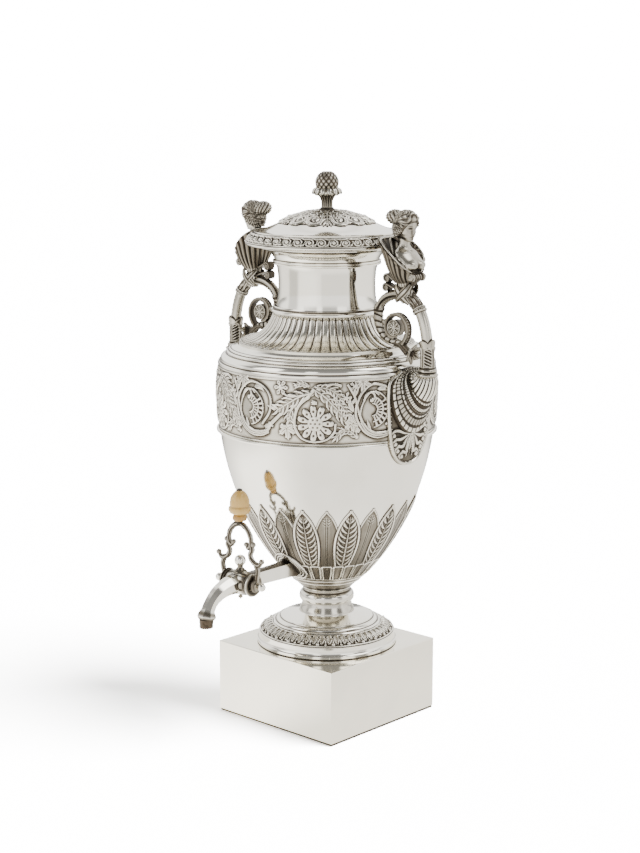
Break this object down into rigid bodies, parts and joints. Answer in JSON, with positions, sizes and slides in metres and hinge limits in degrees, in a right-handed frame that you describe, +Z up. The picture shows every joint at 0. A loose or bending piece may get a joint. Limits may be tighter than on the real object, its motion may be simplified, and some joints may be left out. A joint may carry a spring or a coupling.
{
  "type": "tea urn",
  "caption": "Silver tea urn: ovoid vessel on a square plinth, fluted neck, lift-off lid with pine-cone finial, scroll handles with busts, and a lever tap with an acorn knob.",
  "frame": {"origin": "middle of the plinth's underside, where the urn rests on the table", "axes": "+Z up along the urn's axis, -Y towards the tap, +X and -X towards the handles"},
  "size_m": [0.251, 0.2611, 0.4956],
  "materials": {
    "polished_silver": "polished sterling silver",
    "chased_silver": "chased and cast silver, toned dark in the recesses",
    "ivory": "turned ivory, polished, amber with age",
    "dark_metal": "plain iron and steel fittings",
    "tinned_sheet": "tinned sheet"
  },
  "bodies": {
    "urn": {"plinth": "polished_silver", "base_plate": "tinned_sheet", "base_screws": "dark_metal", "foot_tie_rod": "dark_metal", "foot_washer": "dark_metal", "foot_nut": "dark_metal", "foot_base": "polished_silver", "foot_leaf_band": "chased_silver", "foot_dome": "polished_silver", "stem_collar": "polished_silver", "body": "polished_silver", "calyx": "chased_silver", "calyx_ring": "chased_silver", "frieze": "chased_silver", "frieze_wire": "polished_silver", "shoulder": "polished_silver", "neck_skirt": "chased_silver", "neck": "polished_silver", "neck_lower_ring": "polished_silver", "neck_upper_ring": "polished_silver", "rim": "polished_silver", "rim_ornament": "chased_silver", "tap_escutcheon": "polished_silver", "tap_pipe": "polished_silver", "tap_barrel": "polished_silver", "tap_ball": "polished_silver", "tap_spout": "polished_silver", "tap_nozzle": "polished_silver", "heater_sleeve": "tinned_sheet", "heater_iron": "dark_metal", "heater_cap": "tinned_sheet", "left_palmette": "chased_silver", "left_cup": "chased_silver", "left_arm": "polished_silver", "left_scroll": "polished_silver", "left_rosettes": "chased_silver", "left_leaves": "chased_silver", "left_bust": "polished_silver", "right_palmette": "chased_silver", "right_cup": "chased_silver", "right_arm": "polished_silver", "right_scroll": "polished_silver", "right_rosettes": "chased_silver", "right_leaves": "chased_silver", "right_bust": "polished_silver"},
    "lid": {"lid_dome": "polished_silver", "lid_bezel": "polished_silver", "lid_foliage": "chased_silver", "finial_vase": "polished_silver", "finial_petals": "chased_silver", "finial_cone": "chased_silver", "finial_rod": "dark_metal", "finial_nut": "dark_metal"},
    "tap_key": {"tap_plug": "polished_silver", "tap_yoke": "polished_silver", "tap_end_pins": "polished_silver", "tap_knob_collar": "ivory", "tap_knob": "ivory", "tap_knob_cap": "dark_metal"}
  },
  "joints": [
    {"name": "lid_lift", "type": "slide", "parent": "urn", "child": "lid", "axis": [0, 0, 1], "range_m": [0, 0.09]},
    {"name": "tap_turn", "type": "hinge", "parent": "urn", "child": "tap_key", "pos_m": [0, -0.111, 0.145], "axis": [1, 0, 0], "range_deg": [0, 90]}
  ]
}
